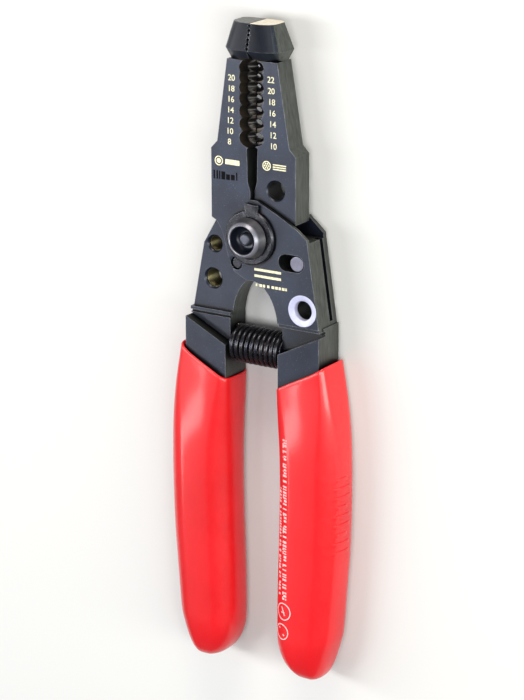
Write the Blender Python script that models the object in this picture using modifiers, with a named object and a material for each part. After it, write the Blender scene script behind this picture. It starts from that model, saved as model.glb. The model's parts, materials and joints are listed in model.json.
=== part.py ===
"""A hand wire stripper, lying flat: two crossed levers, a return spring, a slide lock and two grips.

The tool's plane is XY, +Y points to the nose and +Z out of the marked face.
All the sizes below are in millimetres from the tool's datum, and MM turns them into metres.
The datum is on the middle line, halfway through the thickness. The pivot's axis lies just below it.
"""

import math

import bmesh
import bpy
from mathutils import Matrix, Vector

MM = 0.001
WELD = 0.002 * MM
OBJECT_NAME = "wire_stripper"

# Where the datum stands in the object's own frame: the origin is under the middle of the tool
NOSE_TIP_Y = 57.5
GRIP_END_Y = -128.5
GRIP_HALF_THICK = 7.0
DATUM_Y = -(NOSE_TIP_Y + GRIP_END_Y) / 2
DATUM_Z = GRIP_HALF_THICK
AXIS = (0.0, -1.4)  # the pivot's axis, from the datum

GAP = 0.3  # clearance between neighbours
HALF_GAP = GAP / 2
INSET = 0.05  # keeps joined solids from sharing a plane

# Layers of the lap joint, in Z
FACE_Z = 5.0
BACK_Z = -5.0
CORE_TOP_Z = 4.5  # how far the layers under the marked face reach up into it
NECK_HALF_THICK = 5.2
FRONT_JAW_BACK_Z = -1.5
REAR_JAW_FACE_Z = 3.7
REAR_JAW_BACK_Z = -3.3
FLANGE_BACK_Z = REAR_JAW_FACE_Z + GAP
REAR_PLATE_FACE_Z = 1.5
FRONT_ROOT_BACK_Z = REAR_PLATE_FACE_Z + GAP
EAR_BACK_FACE_Z = REAR_JAW_BACK_Z - GAP
JOINT_RADIUS = 9.0
JOINT_CLEAR_RADIUS = JOINT_RADIUS + GAP

# Jaws
JAW_TOP_Y = 47.2
JAW_TOP_HALF = 7.6
SHOULDER_Y = 24.2
SHOULDER_HALF = 10.9
HIP_Y = 22.1
HIP_HALF = 12.9
REAR_JAW_EXTRA = 0.5  # the right jaw stands out this much further at its hip
JAW_SWING_Y = 6.8  # below this height the left jaw's back layer would meet the rear lever as it opens
SLOT_TOP_Y = 23.0
SLOT_FLARE = 1.0  # height over which the jaws part above the slot
SLOT_HALF = 1.35
SLOT_LOW_Y = 14.0
SLOT_LOW_HALF = 1.1
SLOT_END_Y = 11.2
SLOT_END_HALF = 0.3

# Edge of the joint's lower left, from the arch up to the left jaw's side
SEAM = (
    (-1.9, -13.7),
    (-5.6, -11.9),
    (-6.9, -9.6),
    (-7.6, -7.8),
    (-8.5, -4.3),
    (-9.65, -0.6),
    (-11.1, 1.7),
    (-HIP_HALF, 2.7),
)
# The right jaw's lower end
REAR_FOOT_Y = 2.0
REAR_FOOT = ((9.2, 5.2), (12.0, 4.0), (HIP_HALF + REAR_JAW_EXTRA, 3.3))
# Edge of the joint's upper right, from the slot out to the ear
SHOULDER_SEAM = ((1.8, 9.0), (9.2, 5.5), (14.8, 2.4))

# Nose
NOSE_BASE_Y = 50.2
NOSE_BASE_HALF = 9.0
NOSE_TIP_HALF = 6.7
NOSE_BASE_Z = (-4.8, 7.0)
NOSE_TIP_Z = (-2.8, 5.4)
NOSE_ROOT = 1.2  # how far the nose reaches into the jaw
# Section of half the nose: shares of its half width and of its depth, from the back to the marked side
NOSE_FLANK = (
    (0.6, 0.0),
    (0.88, 0.06),
    (1.0, 0.18),
    (1.0, 0.45),
    (0.985, 0.64),
    (0.94, 0.77),
    (0.84, 0.86),
    (0.5, 1.0),
)
TEETH = 6
TOOTH_DEPTH = 0.45
TOOTH_SHARE = 0.45  # half of a tooth, as a share of the pitch

# Stripping notches
NOTCHES = 7
NOTCH_TOP_Y = 45.2
NOTCH_END_Y = 25.9
NOTCH_SPREAD = 0.22  # how much the pitch grows towards the pivot, since the wires get thicker
NOTCH_HOLE = (0.45, 1.25)
NOTCH_POCKET = (2.9, 4.1)  # radius of the pocket's floor, and at its top
NOTCH_POCKET_Z = 2.2
NOTCH_POCKET_SQUASH = 0.7
NOTCH_BEVEL_Z = 2.4
NOTCH_BEVEL_SQUASH = 0.53
NOTCH_BACK = 3.8
NOTCH_WAIST_Z = 0.9
NOTCH_REACH = 1.0

# Handles
NECK_IN_X = 8.6
NECK_OUT_X = 21.8
NECK_TOP_Y = -24.7
EAR_X = 17.8
EAR_FOOT_X = 21.6
FACET_Z = 2.6
BLOCK_OUT_Y = -27.0
BLOCK_IN_Y = -33.5
BLOCK_ROOT = 1.0  # how far the block reaches down below the grooves' floor
GROOVE_WIDTH = 0.7
GROOVE_DEPTH = 0.9
GROOVE_INSET = 0.9  # the plate's lower end just covers the groove's upper edge
MOUTH_OUT_Y = -37.3
MOUTH_IN_Y = -44.0
TANG_IN_X = 10.6
TANG_OUT_X = 20.4
TANG_HALF_THICK = 3.8
TANG_END_Y = -112.0
TANG_ROOT = 1.0
TANG_CHAMFER = 2.0
ARCH_FOOT_Y = -27.0
ARCH_HALF = 8.5
ARCH_RISE = 13.3
ARCH_START = 10.0  # degrees round the arch from its right foot
ARCH_TOP = 90.0
ARCH_LAP = 8.0  # how far past the top the marked face goes
ARCH_PART = 2.0  # how far from the top the layers under it stop
ARCH_STEPS = 12

PLATE_LAP = 1.0  # how far a handle's plate reaches down into its neck
REAR_PLATE_TOP_Y = 2.4
REAR_PLATE_KNEE_Y = -6.0

# The ear: the right handle's plate is split by a pocket, which the rear lever's jaw swings into
POCKET_FLOOR_Y = -1.0
EAR_BACK_TOP_Y = 4.6
EAR_BACK_LAP = 1.0
EAR_LEAN = 0.1  # how much wider the ear is at the pocket's floor than at its top
EAR_CORNER_Y = 0.4
EAR_INNER_Y = 1.0
EAR_LIP = 1.2
SLIT_Z = (-2.9, -1.4)
SLIT_DEPTH = 2.6
SLIT_END_DEPTH = 0.9
SLIT_END_Y = -23.6

# Holes: centre and radius
GAUGE_HOLE = (7.1, 12.1, 2.7)
GAUGE_CHAMFER = 0.35
HANG_HOLE = (16.4, -19.9, 2.8)
HANG_SINK = 4.4
SHEAR_HOLES = ((-14.2, -6.0, 2.1), (-14.8, -16.0, 2.6))
SHEAR_CHAMFER = 0.5
STUD_PLACE = (-4.8, -9.4)
STUD_RADIUS = 1.6
STUD_FACE_Z = 4.6
STUD_FOOT_Z = 1.65
THROUGH = 2.0  # how far a cutter runs out of the steel

# Pivot
EDGE = 0.4  # chamfer of the turned pieces
SHANK_RADIUS = 2.6
REAR_HEAD_RADIUS = 6.2
REAR_HEAD_Z = -6.55
WASHER_RADIUS = 7.7
WASHER_TOP_Z = 6.2
TAB_ANGLE = math.radians(86)
TAB_REACH = 9.4
TAB_WIDTH = 4.0
TAB_ROOT = 1.5
BOSS_BASE_RADIUS = 5.9
BOSS_RIM_RADIUS = 4.9
BOSS_TOP_Z = 9.8
BOSS_WELL_RADIUS = 3.75
BOSS_WELL_Z = 7.2
BOSS_ROUND = 0.65
PIN_TOP_Z = 8.6
PIN_RADIUS = 1.65
THRUST_RADIUS = 6.0
THRUST_HALF_THICK = 0.5

# Slide lock
LOCK_X = 14.6
LOCK_Y = -7.0
LOCK_TRAVEL = 3.5
LOCK_PIN_RADIUS = 2.1
LOCK_STEM_RADIUS = 1.2
LOCK_STEP_Z = -1.6
LOCK_BUTTON = (6.0, 7.0)
LOCK_BUTTON_Z = -6.6
RIBS = 3
RIB_HALF = 0.45
RIB_RISE = 0.55
RIB_INSET = 0.7

# Return spring
SPRING_Y = -33.8
SPRING_RADIUS = 4.85
SPRING_WIRE = 0.575
SPRING_TURNS = 10
SPRING_STEPS = 14
SEAT_RADIUS = 3.8
SEAT_REACH = 3.2

# Grips: height, inner side, outer side, half thickness and squareness, down to where the round end starts
GRIP_STATIONS = (
    (-31.0, 8.0, 22.9, 5.9, 6.5),
    (-40.0, 7.8, 24.6, 6.1, 6.0),
    (-50.0, 7.8, 26.5, 6.6, 4.2),
    (-60.0, 7.9, 27.9, 6.95, 3.1),
    (-72.0, 7.9, 28.3, GRIP_HALF_THICK, 2.8),
    (-88.0, 7.6, 27.9, GRIP_HALF_THICK, 2.8),
    (-102.0, 7.2, 26.6, GRIP_HALF_THICK, 2.8),
    (-113.0, 7.1, 25.7, GRIP_HALF_THICK, 2.8),
)
GRIP_ROUND_Y = -116.0
GRIP_ROUND_SIDES = (7.2, 25.3)
GRIP_ROUND_IN = 8.8  # how far the inner side rounds in by the end
GRIP_ROUND_SLANT = 3.6  # how far the outer side slants in
GRIP_ROUND_OUT = 2.4  # how far it then rounds in
GRIP_ROUND_RINGS = 7
GRIP_RING_POINTS = 36
GRIP_END_SQUARENESS = 2.8
GRIP_FLAT = 1.04  # the rounded section is this much too thick, and is then cut flat on both faces
GRIP_SPREAD = 8.0  # more than a grip stands out beyond its neck
GRIP_END_SHARE = 0.36  # thickness left at the very end

ROUND_SIDES = 48
SMALL_SIDES = 32
SLOT_STEPS = 10
SMOOTH_ANGLE = math.radians(35)

COLOURS = {
    "steel": ((0.055, 0.065, 0.09), 0.36, 0.7),
    "dark_steel": ((0.03, 0.032, 0.04), 0.3, 0.85),
    "grip": ((0.75, 0.02, 0.02), 0.28, 0.0),
    "zinc": ((0.75, 0.75, 0.85), 0.3, 0.9),
    "spring": ((0.02, 0.022, 0.03), 0.28, 0.8),
}


# ---------- scene helpers ----------


def clear_scene():
    for obj in list(bpy.data.objects):
        bpy.data.objects.remove(obj)


def new_collection(name):
    made = bpy.data.collections.new(name)
    bpy.context.scene.collection.children.link(made)
    return made


def material(name, kind):
    colour, roughness, metallic = COLOURS[kind]
    made = bpy.data.materials.new(name)
    made.use_nodes = True
    shader = made.node_tree.nodes["Principled BSDF"]
    shader.inputs["Base Color"].default_value = (*colour, 1.0)
    shader.inputs["Roughness"].default_value = roughness
    shader.inputs["Metallic"].default_value = metallic
    return made


def frame_at_pivot(name):
    """The parent of a moving piece and its cutters, with its origin on the pivot's axis."""
    made = bpy.data.objects.new(name, None)
    made.location = Vector((AXIS[0], DATUM_Y + AXIS[1], DATUM_Z)) * MM
    parts.objects.link(made)
    return made


def place(obj, parent, kind):
    """Hangs a finished piece and its cutters on their frame, and gives it its material and its shading."""
    for piece in [obj] + [modifier.object for modifier in obj.modifiers]:
        piece.parent = parent
        piece.location = Vector((-AXIS[0], -AXIS[1], 0)) * MM
    obj.data.materials.clear()
    obj.data.materials.append(material(obj.name + "_finish", kind))
    obj.data.shade_smooth()
    obj.data.set_sharp_from_angle(angle=SMOOTH_ANGLE)
    return obj


def keep_as_cutter(obj):
    parts.objects.unlink(obj)
    cutters.objects.link(obj)
    obj.hide_render = True
    obj.display_type = "WIRE"


def from_bmesh(name, shape):
    bmesh.ops.recalc_face_normals(shape, faces=shape.faces)
    mesh = bpy.data.meshes.new(name)
    shape.to_mesh(mesh)
    shape.free()
    obj = bpy.data.objects.new(name, mesh)
    parts.objects.link(obj)
    return obj


# ---------- solids ----------


def box(name, low, high):
    shape = bmesh.new()
    bmesh.ops.create_cube(shape, size=1.0)
    size = Vector(high) - Vector(low)
    middle = (Vector(high) + Vector(low)) / 2
    for vert in shape.verts:
        vert.co = Vector([vert.co[i] * size[i] + middle[i] for i in range(3)]) * MM
    return from_bmesh(name, shape)


def cone(name, centre, radii, z_range, sides=SMALL_SIDES, squash=1.0):
    """A round solid along Z, with its low and its high radius. squash flattens it in Y."""
    shape = bmesh.new()
    low, high = z_range
    bmesh.ops.create_cone(
        shape, cap_ends=True, segments=sides, radius1=radii[0] * MM, radius2=radii[1] * MM,
        depth=(high - low) * MM,
    )
    for vert in shape.verts:
        vert.co.y *= squash
        vert.co += Vector((centre[0], centre[1], (low + high) / 2)) * MM
    return from_bmesh(name, shape)


def disc(name, centre, radius, z_range, sides=SMALL_SIDES):
    return cone(name, centre, (radius, radius), z_range, sides)


def mesh_from_curve(name, curve):
    """The curve's solid as a mesh object, with its caps welded on."""
    drawn = bpy.data.objects.new(name + "_curve", curve)
    parts.objects.link(drawn)
    bpy.context.view_layer.update()
    graph = bpy.context.evaluated_depsgraph_get()
    mesh = bpy.data.meshes.new_from_object(drawn.evaluated_get(graph))
    shape = bmesh.new()
    shape.from_mesh(mesh)
    bmesh.ops.remove_doubles(shape, verts=shape.verts, dist=WELD)
    bmesh.ops.recalc_face_normals(shape, faces=shape.faces)
    shape.to_mesh(mesh)
    shape.free()
    obj = bpy.data.objects.new(name, mesh)
    obj.matrix_world = drawn.matrix_world
    bpy.data.objects.remove(drawn)
    parts.objects.link(obj)
    return obj


def plate(name, outline, z_range):
    """A flat outline, extruded from the low to the high of z_range."""
    low, high = z_range
    curve = bpy.data.curves.new(name, "CURVE")
    curve.dimensions = "2D"
    curve.fill_mode = "BOTH"
    curve.extrude = (high - low) / 2 * MM
    spline = curve.splines.new("POLY")
    spline.points.add(len(outline) - 1)
    for point, (x, y) in zip(spline.points, outline):
        point.co = (x * MM, y * MM, 0, 1)
    spline.use_cyclic_u = True
    obj = mesh_from_curve(name, curve)
    obj.data.transform(Matrix.Translation((0, 0, (low + high) / 2 * MM)))
    return obj


def turned(name, profile, sides=ROUND_SIDES):
    """A profile of (radius, z), from the top down its outer side, turned about the datum's Z."""
    mesh = bpy.data.meshes.new(name)
    points = [(radius * MM, 0, z * MM) for radius, z in profile]
    edges = [(i, (i + 1) % len(points)) for i in range(len(points))]
    mesh.from_pydata(points, edges, [])
    obj = bpy.data.objects.new(name, mesh)
    parts.objects.link(obj)
    screw = obj.modifiers.new("turn", "SCREW")
    screw.steps = sides
    screw.render_steps = sides
    screw.use_merge_vertices = True
    screw.merge_threshold = WELD
    return settle(obj)


def settle(obj):
    """Applies the object's modifiers, and removes the cutters that they used."""
    used = [modifier.object for modifier in obj.modifiers if modifier.type == "BOOLEAN"]
    bpy.context.view_layer.update()
    graph = bpy.context.evaluated_depsgraph_get()
    mesh = bpy.data.meshes.new_from_object(obj.evaluated_get(graph))
    obj.modifiers.clear()
    obj.data = mesh
    for cutter in used:
        bpy.data.objects.remove(cutter)
    shape = bmesh.new()
    shape.from_mesh(mesh)
    bmesh.ops.recalc_face_normals(shape, faces=shape.faces)
    shape.to_mesh(mesh)
    shape.free()
    return obj


def join(obj, *others):
    """Makes one body of the object and the others."""
    for other in others:
        union = obj.modifiers.new("join", "BOOLEAN")
        union.operation = "UNION"
        union.solver = "EXACT"
        union.object = other
        settle(obj)
    return obj


def carve(obj, *tools):
    """Cuts each tool out of the object. The tools stay in the cutters' collection."""
    for tool in tools:
        cut = obj.modifiers.new("cut_" + tool.name, "BOOLEAN")
        cut.operation = "DIFFERENCE"
        cut.solver = "EXACT"
        cut.object = tool
        if tool.name not in cutters.objects:
            keep_as_cutter(tool)
    return obj


def loft(name, rings):
    """A skin over closed rings with the same number of points, capped at both ends."""
    shape = bmesh.new()
    layers = [[shape.verts.new(Vector(point) * MM) for point in ring] for ring in rings]
    count = len(rings[0])
    for low, high in zip(layers, layers[1:]):
        for i in range(count):
            j = (i + 1) % count
            shape.faces.new((low[i], low[j], high[j], high[i]))
    shape.faces.new(layers[0][::-1])
    shape.faces.new(layers[-1])
    return from_bmesh(name, shape)


def ellipse(centre, radii, start, end, steps):
    """Points on an ellipse from one angle to another, in degrees."""
    angles = [math.radians(start + (end - start) * i / steps) for i in range(steps + 1)]
    return [(centre[0] + radii[0] * math.cos(a), centre[1] + radii[1] * math.sin(a)) for a in angles]


# ---------- levers ----------


def mirrored(outline):
    return [(-x, y) for x, y in outline]


def jaw_edge():
    """The right jaw's inner edge, from its top down the slot."""
    return [
        (HALF_GAP, JAW_TOP_Y),
        (HALF_GAP, SLOT_TOP_Y + SLOT_FLARE),
        (SLOT_HALF, SLOT_TOP_Y),
        (SLOT_LOW_HALF, SLOT_LOW_Y),
        (SLOT_END_HALF, SLOT_END_Y),
    ]


def jaw_side(extra=0.0):
    """The right jaw's outer side, from its hip up to its top."""
    return [
        (HIP_HALF + extra, HIP_Y),
        (SHOULDER_HALF + extra, SHOULDER_Y),
        (JAW_TOP_HALF, JAW_TOP_Y),
    ]


def arch(start, end):
    """The arch between the handles, from one angle to another."""
    return ellipse((0, ARCH_FOOT_Y), (ARCH_HALF, ARCH_RISE), start, end, ARCH_STEPS)


def front_face_outline():
    """The whole marked face: the left jaw, the joint and the right handle's plate."""
    right = [*SHOULDER_SEAM, (EAR_X, 0.0), (EAR_FOOT_X, NECK_TOP_Y)]
    joint = [(SLOT_END_HALF, JOINT_RADIUS)]
    inner, outer = jaw_edge(), jaw_side()
    low = arch(ARCH_START, ARCH_TOP + ARCH_LAP) + list(SEAM)
    return mirrored(inner + joint) + right + low + mirrored(outer)


def nose(name, side, face_z, back_z):
    """One half of the plier nose: it swells out of the jaw plate and tapers to the tip."""

    def ring(y, inner, half, z_range):
        low, high = z_range
        flank = [(share * half, low + depth * (high - low)) for share, depth in NOSE_FLANK]
        across = [(inner, low), *flank, (inner, high)]
        return [(side * x, y, z) for x, z in across]

    jaw_z = (back_z + INSET, face_z - INSET)
    jaw_inner, jaw_half = HALF_GAP + INSET, JAW_TOP_HALF - INSET
    rings = [
        ring(JAW_TOP_Y - NOSE_ROOT, jaw_inner, jaw_half, jaw_z),
        ring(JAW_TOP_Y, jaw_inner, jaw_half, jaw_z),
        ring(NOSE_BASE_Y, HALF_GAP, NOSE_BASE_HALF, NOSE_BASE_Z),
        ring(NOSE_TIP_Y, HALF_GAP, NOSE_TIP_HALF, NOSE_TIP_Z),
    ]
    return loft(name, rings)


def nose_teeth():
    """Ridges across the gripping faces, as one comb that cuts both halves."""
    pitch = (NOSE_TIP_Y - NOSE_BASE_Y) / TEETH
    half = TOOTH_SHARE * pitch
    reach = HALF_GAP + TOOTH_DEPTH
    made = []
    for i in range(TEETH):
        y = NOSE_BASE_Y + (i + 0.5) * pitch
        diamond = [(-reach, y), (0, y - half), (reach, y), (0, y + half)]
        made.append(plate(f"tooth_{i}", diamond, (NOSE_BASE_Z[0] - THROUGH, NOSE_BASE_Z[1] + THROUGH)))
    return made


def notch_cutters():
    """For each wire size a hole, bevelled on both sides, in a shallow pocket in the marked face."""
    made = []
    front = FACE_Z + NOTCH_REACH
    back = REAR_JAW_BACK_Z - NOTCH_REACH
    for i in range(NOTCHES):
        share = i / (NOTCHES - 1)
        down = share * (1 - NOTCH_SPREAD) + share * share * NOTCH_SPREAD
        y = NOTCH_TOP_Y + (NOTCH_END_Y - NOTCH_TOP_Y) * down
        hole = NOTCH_HOLE[0] + (NOTCH_HOLE[1] - NOTCH_HOLE[0]) * share
        middle = (0, y)
        sides = SMALL_SIDES // 2
        made += [
            cone(
                f"notch_pocket_{i}", middle, NOTCH_POCKET, (NOTCH_POCKET_Z, front), sides,
                NOTCH_POCKET_SQUASH,
            ),
            cone(
                f"notch_bevel_{i}", middle, (hole, NOTCH_POCKET[0]), (NOTCH_WAIST_Z, NOTCH_BEVEL_Z), sides,
                NOTCH_BEVEL_SQUASH,
            ),
            cone(
                f"notch_back_{i}", middle, (NOTCH_BACK, hole), (back, NOTCH_WAIST_Z), sides,
                NOTCH_BEVEL_SQUASH,
            ),
            disc(f"notch_hole_{i}", middle, hole, (back, front), sides),
        ]
    return made


def mouth_y(x):
    """The slanted line where a handle goes into its grip."""
    slope = (MOUTH_OUT_Y - MOUTH_IN_Y) / (NECK_OUT_X - NECK_IN_X)
    return MOUTH_IN_Y + slope * (x - NECK_IN_X)


def neck(name, side):
    """The thick stretch of a handle between its plate and its grip, with the tang that the grip covers."""

    def flipped(outline):
        return [(side * x, y) for x, y in outline]

    foot = [(x, mouth_y(x) + GAP) for x in (NECK_OUT_X, NECK_IN_X)]

    base = plate(
        name,
        flipped([(NECK_IN_X, NECK_TOP_Y), (NECK_OUT_X, NECK_TOP_Y)] + foot),
        (-NECK_HALF_THICK, FACET_Z),
    )
    block = plate(
        name + "_block",
        flipped([(NECK_IN_X, BLOCK_IN_Y), (NECK_OUT_X, BLOCK_OUT_Y)] + foot),
        (FACET_Z - GROOVE_DEPTH - BLOCK_ROOT, NECK_HALF_THICK),
    )
    tang = plate(
        name + "_tang",
        flipped([
            (TANG_IN_X, mouth_y(TANG_IN_X) + TANG_ROOT), (TANG_OUT_X, mouth_y(TANG_OUT_X) + TANG_ROOT),
            (TANG_OUT_X, TANG_END_Y + TANG_CHAMFER), (TANG_OUT_X - TANG_CHAMFER, TANG_END_Y),
            (TANG_IN_X + TANG_CHAMFER, TANG_END_Y), (TANG_IN_X, TANG_END_Y + TANG_CHAMFER),
        ]),
        (-TANG_HALF_THICK, TANG_HALF_THICK),
    )
    join(base, block, tang)
    block_slope = (BLOCK_OUT_Y - BLOCK_IN_Y) / (NECK_OUT_X - NECK_IN_X)
    carve(
        base,
        neck_groove(name + "_groove_high", side, NECK_TOP_Y - GROOVE_INSET, 0),
        neck_groove(name + "_groove_low", side, BLOCK_IN_Y + GROOVE_WIDTH - INSET, block_slope),
    )
    return settle(base)


def neck_groove(name, side, y, slope):
    """A groove across the neck's facet, whose upper edge is at y on the inner side."""
    inner, outer = NECK_IN_X - THROUGH, NECK_OUT_X + THROUGH
    inner_y = y + slope * (inner - NECK_IN_X)
    outer_y = y + slope * (outer - NECK_IN_X)
    outline = [
        (side * inner, inner_y), (side * outer, outer_y),
        (side * outer, outer_y - GROOVE_WIDTH), (side * inner, inner_y - GROOVE_WIDTH),
    ]
    return plate(name, outline, (FACET_Z - GROOVE_DEPTH, FACET_Z + THROUGH))


def front_lever(teeth, notches):
    """Left jaw, front half of the joint and right handle."""
    lever = plate("front_lever", front_face_outline(), (FLANGE_BACK_Z, FACE_Z))
    jaw_foot = [(SLOT_END_HALF, JAW_SWING_Y), (HIP_HALF, JAW_SWING_Y)]
    jaw = plate(
        "jaw_core",
        mirrored(jaw_edge() + jaw_foot + jaw_side()),
        (FRONT_JAW_BACK_Z, CORE_TOP_Z),
    )
    root = plate("root_core", front_root_outline(), (FRONT_ROOT_BACK_Z, CORE_TOP_Z))
    hub = disc("hub_core", AXIS, JOINT_RADIUS, (HALF_GAP, CORE_TOP_Z), ROUND_SIDES)
    handle = plate("plate_core", front_plate_outline(), (BACK_Z, CORE_TOP_Z))
    ear_back = plate("ear_back", ear_back_outline(), (BACK_Z, EAR_BACK_FACE_Z))
    clear = disc("clear_front", AXIS, JOINT_CLEAR_RADIUS, (BACK_Z - THROUGH, HALF_GAP), ROUND_SIDES)
    join(lever, jaw, root, handle, ear_back, neck("neck_right", 1))
    join(lever, nose("nose_left", -1, FACE_Z, FRONT_JAW_BACK_Z))
    carve(lever, clear)
    settle(lever)
    join(lever, hub)
    return carve(lever, *front_holes(), *teeth, *notches)


def front_holes():
    lock_slot = [(LOCK_X - LOCK_TRAVEL, LOCK_Y), (LOCK_X, LOCK_Y)]
    through = (BACK_Z - THROUGH, FACE_Z + THROUGH)
    return [
        disc("bore_front", AXIS, SHANK_RADIUS + GAP, through),
        disc("thrust_seat_front", AXIS, THRUST_RADIUS + GAP, (-THROUGH, THRUST_HALF_THICK + GAP)),
        disc("hang_hole", HANG_HOLE[:2], HANG_HOLE[2], through),
        sink_cutter("hang_sink", HANG_HOLE, HANG_SINK - HANG_HOLE[2], FACE_Z),
        disc("stud_hole", STUD_PLACE, STUD_RADIUS + GAP, (STUD_FOOT_Z - GAP, FACE_Z + THROUGH)),
        slot_cutter("lock_slot", lock_slot, LOCK_PIN_RADIUS + GAP, (LOCK_STEP_Z - GAP, FACE_Z + THROUGH)),
        slot_cutter("stem_slot", lock_slot, LOCK_STEM_RADIUS + GAP, (BACK_Z - THROUGH, LOCK_STEP_Z)),
        ear_slit(),
    ]


def sink_cutter(name, hole, depth, face_z):
    """A 45 degree countersink round a hole, reaching a little above the face so that it cuts clean."""
    x, y, radius = hole
    wide = radius + depth + GAP
    return cone(name, (x, y), (radius, wide), (face_z - depth, face_z + GAP))


def front_root_outline():
    """The left jaw's foot and the joint's lower left, which lie over the rear lever's plate."""
    return [
        (-SLOT_END_HALF, JAW_SWING_Y + 1), (-SLOT_END_HALF, SEAM[0][1]), *SEAM,
        (-HIP_HALF, JAW_SWING_Y + 1),
    ]


def front_plate_outline():
    """The right handle's plate below the pocket that the rear lever's jaw swings into."""
    top = [(HALF_GAP, POCKET_FLOOR_Y), (EAR_X + EAR_LEAN, POCKET_FLOOR_Y)]
    foot = [(EAR_FOOT_X, NECK_TOP_Y - PLATE_LAP), (NECK_IN_X, NECK_TOP_Y - PLATE_LAP)]
    return top + foot + arch(ARCH_START, ARCH_TOP - ARCH_PART)


def ear_back_outline():
    """The ear's thin back layer, which stands up behind the rear lever's jaw."""
    return [
        (JOINT_RADIUS, POCKET_FLOOR_Y - EAR_BACK_LAP), (EAR_X + EAR_LEAN, POCKET_FLOOR_Y - EAR_BACK_LAP),
        (EAR_X, EAR_CORNER_Y), (HIP_HALF, EAR_BACK_TOP_Y), (HIP_HALF - EAR_LIP, EAR_BACK_TOP_Y),
        (JOINT_RADIUS, EAR_INNER_Y),
    ]


def ear_slit():
    """The slit down the ear's outer side, between its front and its back layer."""
    slope = (EAR_FOOT_X - EAR_X) / -NECK_TOP_Y
    end_x = EAR_X - slope * SLIT_END_Y
    outline = [
        (EAR_X - SLIT_DEPTH, POCKET_FLOOR_Y + THROUGH), (EAR_X + THROUGH, POCKET_FLOOR_Y + THROUGH),
        (end_x + THROUGH, SLIT_END_Y), (end_x - SLIT_END_DEPTH, SLIT_END_Y),
    ]
    return plate("ear_slit", outline, SLIT_Z)


def slot_cutter(name, ends, radius, z_range):
    """A round-ended slot between two points."""
    (x0, y0), (x1, y1) = ends
    angle = math.degrees(math.atan2(y1 - y0, x1 - x0))
    outline = ellipse((x1, y1), (radius, radius), angle - 90, angle + 90, SLOT_STEPS)
    outline += ellipse((x0, y0), (radius, radius), angle + 90, angle + 270, SLOT_STEPS)
    return plate(name, outline, z_range)


def rear_lever(teeth, notches):
    """Right jaw, rear half of the joint and left handle."""
    foot = [(SLOT_END_HALF, REAR_FOOT_Y), (JOINT_RADIUS, REAR_FOOT_Y), *REAR_FOOT]
    outline = jaw_edge() + foot + jaw_side(REAR_JAW_EXTRA)
    lever = plate("rear_lever", outline, (REAR_JAW_BACK_Z, REAR_JAW_FACE_Z))
    handle = plate("rear_plate_core", rear_plate_outline(), (BACK_Z, REAR_PLATE_FACE_Z))
    join(lever, handle, nose("nose_right", 1, REAR_JAW_FACE_Z, REAR_JAW_BACK_Z), neck("neck_left", -1))
    clear = disc("clear_rear", AXIS, JOINT_CLEAR_RADIUS, (-HALF_GAP, FACE_Z + THROUGH), ROUND_SIDES)
    carve(lever, clear)
    settle(lever)
    hub = disc("rear_hub_core", AXIS, JOINT_RADIUS, (BACK_Z, -HALF_GAP), ROUND_SIDES)
    join(lever, hub)
    return carve(lever, *rear_holes(), *teeth, *notches)


def rear_holes():
    through = (BACK_Z - THROUGH, FACE_Z + THROUGH)
    tools = [
        disc("bore_rear", AXIS, SHANK_RADIUS + GAP, through),
        disc("thrust_seat_rear", AXIS, THRUST_RADIUS + GAP, (-THRUST_HALF_THICK - GAP, THROUGH)),
        disc("gauge_hole", GAUGE_HOLE[:2], GAUGE_HOLE[2], through),
        sink_cutter("gauge_sink", GAUGE_HOLE, GAUGE_CHAMFER, REAR_JAW_FACE_Z),
    ]
    for i, hole in enumerate(SHEAR_HOLES):
        tools.append(disc(f"shear_hole_{i}", hole[:2], hole[2], through))
        tools.append(sink_cutter(f"shear_sink_{i}", hole, SHEAR_CHAMFER, REAR_PLATE_FACE_Z))
    return tools


def rear_plate_outline():
    """The left handle's plate, which lies lower than the marked face."""
    inner = [(-HALF_GAP, 0.0), (-HALF_GAP, SEAM[0][1])]
    foot = [(-NECK_IN_X, NECK_TOP_Y - PLATE_LAP), (-EAR_FOOT_X, NECK_TOP_Y - PLATE_LAP)]
    outer = [(-EAR_X, REAR_PLATE_KNEE_Y), (-HIP_HALF, REAR_PLATE_TOP_Y), (-JOINT_RADIUS, REAR_PLATE_TOP_Y)]
    return inner + arch(ARCH_TOP + ARCH_PART, 2 * ARCH_TOP - ARCH_START) + foot + outer


# ---------- pivot ----------


def on_axis(obj):
    """Moves a piece from the datum onto the pivot's axis."""
    obj.data.transform(Matrix.Translation((AXIS[0] * MM, AXIS[1] * MM, 0)))
    return obj


def pivot_bolt():
    """A shank through both levers, with a low head behind and a slim pin that stands in the boss."""
    return turned(
        "pivot_bolt",
        [
            (0, PIN_TOP_Z), (PIN_RADIUS - EDGE, PIN_TOP_Z), (PIN_RADIUS, PIN_TOP_Z - EDGE),
            (PIN_RADIUS, FACE_Z), (SHANK_RADIUS, FACE_Z), (SHANK_RADIUS, BACK_Z - GAP),
            (REAR_HEAD_RADIUS, BACK_Z - GAP), (REAR_HEAD_RADIUS, REAR_HEAD_Z + EDGE),
            (REAR_HEAD_RADIUS - EDGE, REAR_HEAD_Z), (0, REAR_HEAD_Z),
        ],
    )


def pivot_washer():
    """The flange under the boss, with a tab that keeps it from turning."""
    low = FACE_Z + GAP
    bore = PIN_RADIUS + GAP
    washer = turned(
        "pivot_washer",
        [
            (bore, WASHER_TOP_Z), (WASHER_RADIUS - EDGE, WASHER_TOP_Z), (WASHER_RADIUS, WASHER_TOP_Z - EDGE),
            (WASHER_RADIUS, low), (bore, low),
        ],
    )
    half = TAB_WIDTH / 2
    tab = box("washer_tab", (WASHER_RADIUS - TAB_ROOT, -half, low), (TAB_REACH, half, WASHER_TOP_Z - INSET))
    tab.data.transform(Matrix.Rotation(TAB_ANGLE, 4, "Z"))
    return join(washer, tab)


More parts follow.
